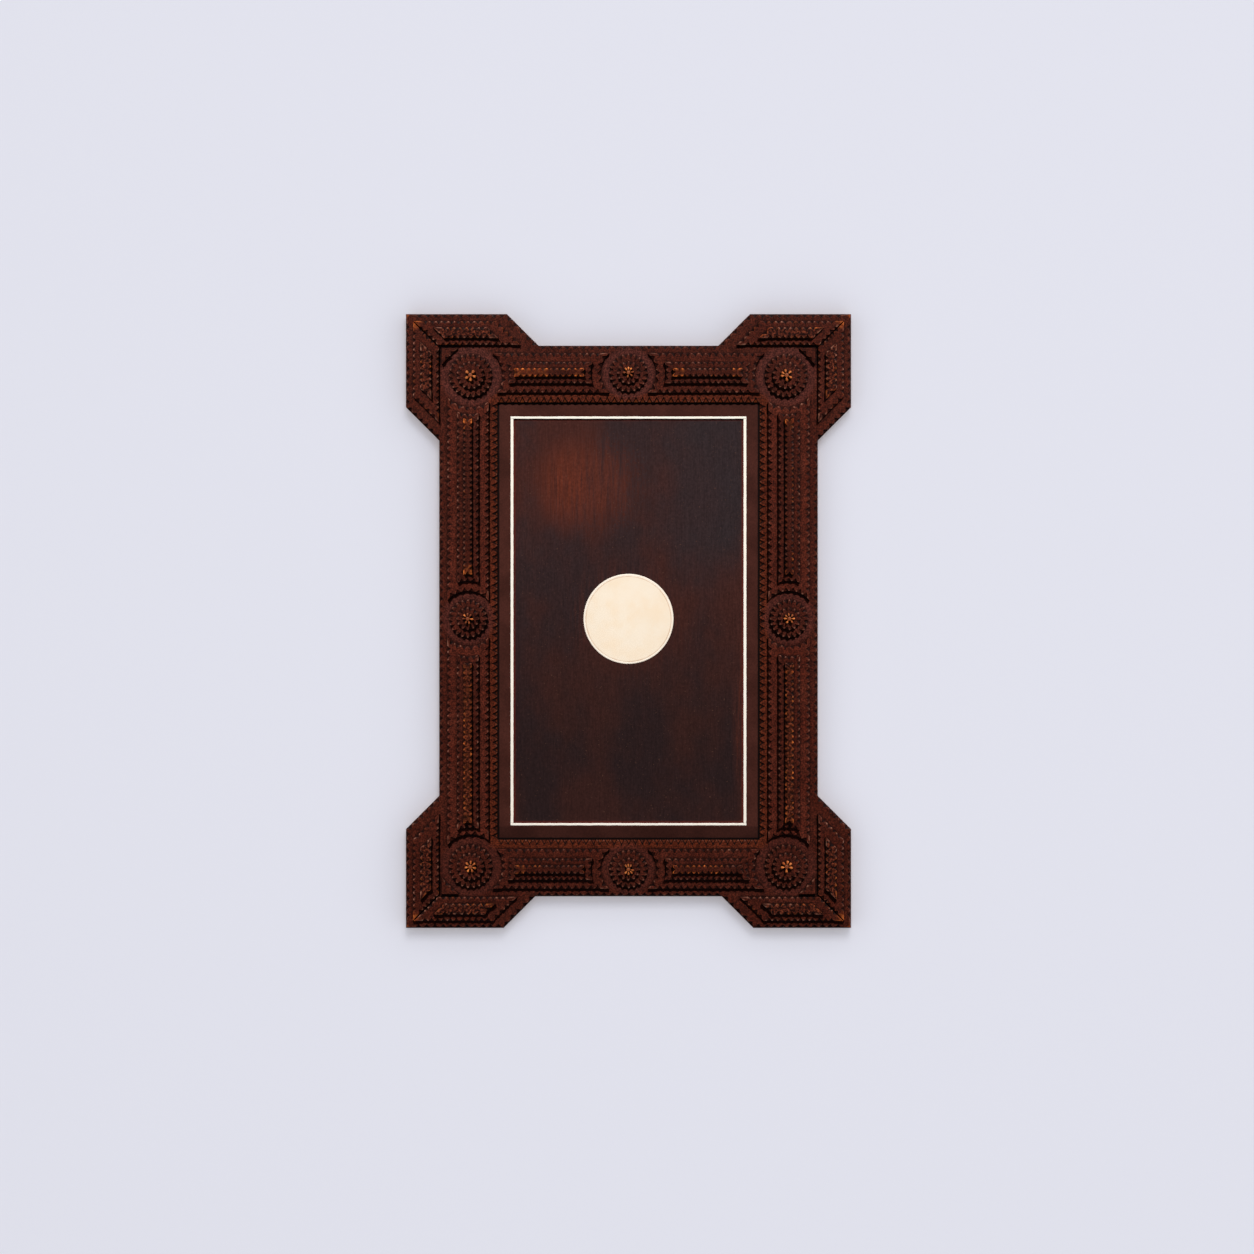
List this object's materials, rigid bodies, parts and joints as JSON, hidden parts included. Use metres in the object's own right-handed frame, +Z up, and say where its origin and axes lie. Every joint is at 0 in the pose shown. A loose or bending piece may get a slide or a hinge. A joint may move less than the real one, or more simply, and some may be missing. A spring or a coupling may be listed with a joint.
{
  "type": "layered chip-carved wall frame",
  "caption": "Dark layered chip-carved wooden wall frame with square ears, toothed round medallions, and a dark panel with a pale line and disc.",
  "frame": {"origin": "middle of the backboard's back face, on the wall plane", "axes": "+Z up, +X to the viewer's right, the carved front faces -Y and the wall is at +Y"},
  "size_m": [0.401, 0.035, 0.553],
  "materials": {
    "base_pine": "old softwood, stained dark at the edges, bare behind",
    "stained_wood": "thin boards, dark red-brown stain, worn satin varnish, amber wood at the worn tips",
    "dark_paint": "dark stained wood, matt",
    "painted_panel": "dark purple-brown paint over red-brown wood, streaky, satin",
    "cream_paint": "cream paint, faintly mottled, matt",
    "back_wood": "bare aged softwood board",
    "nail_steel": "dull steel with light rust",
    "screw_steel": "plain steel",
    "hanger_brass": "aged brass"
  },
  "bodies": {
    "frame": {"base_stile_left": "base_pine", "base_stile_right": "base_pine", "base_rail_top": "base_pine", "base_rail_bottom": "base_pine", "ear_block_top_left": "base_pine", "ear_block_top_right": "base_pine", "ear_block_bottom_left": "base_pine", "ear_block_bottom_right": "base_pine", "cover_left": "stained_wood", "cover_right": "stained_wood", "cover_top": "stained_wood", "cover_bottom": "stained_wood", "rail_slat_top_left": "stained_wood", "rail_slat_top_right": "stained_wood", "rail_slat_bottom_left": "stained_wood", "rail_slat_bottom_right": "stained_wood", "rail_crest_top_left": "stained_wood", "rail_crest_top_right": "stained_wood", "rail_crest_bottom_left": "stained_wood", "rail_crest_bottom_right": "stained_wood", "stile_slat_top_left": "stained_wood", "stile_slat_top_right": "stained_wood", "stile_slat_bottom_left": "stained_wood", "stile_slat_bottom_right": "stained_wood", "stile_crest_top_left": "stained_wood", "stile_crest_top_right": "stained_wood", "stile_crest_bottom_left": "stained_wood", "stile_crest_bottom_right": "stained_wood", "ear_top_slats_top_left": "stained_wood", "ear_top_slats_top_right": "stained_wood", "ear_top_slats_bottom_left": "stained_wood", "ear_top_slats_bottom_right": "stained_wood", "ear_side_slats_top_left": "stained_wood", "ear_side_slats_top_right": "stained_wood", "ear_side_slats_bottom_left": "stained_wood", "ear_side_slats_bottom_right": "stained_wood", "medallion_top_left": "stained_wood", "medallion_top_right": "stained_wood", "medallion_bottom_left": "stained_wood", "medallion_bottom_right": "stained_wood", "medallion_mid_left": "stained_wood", "medallion_mid_right": "stained_wood", "medallion_mid_top": "stained_wood", "medallion_mid_bottom": "stained_wood", "corner_spandrels": "stained_wood", "liner": "dark_paint", "pale_line": "cream_paint", "panel": "painted_panel", "pale_disc": "cream_paint", "backboard": "back_wood", "backboard_nails": "nail_steel", "hanger_screws": "screw_steel", "hanger_strap_left": "hanger_brass", "hanger_strap_right": "hanger_brass"},
    "ring_left": {"hanger_ring_left": "hanger_brass"},
    "ring_right": {"hanger_ring_right": "hanger_brass"}
  },
  "joints": [
    {"name": "ring_left_swing", "type": "hinge", "parent": "frame", "child": "ring_left", "pos_m": [-0.153, -0.00262, 0.12], "axis": [1, 0, 0], "range_deg": [0, 180]},
    {"name": "ring_right_swing", "type": "hinge", "parent": "frame", "child": "ring_right", "pos_m": [0.153, -0.00262, 0.12], "axis": [1, 0, 0], "range_deg": [0, 180]}
  ]
}
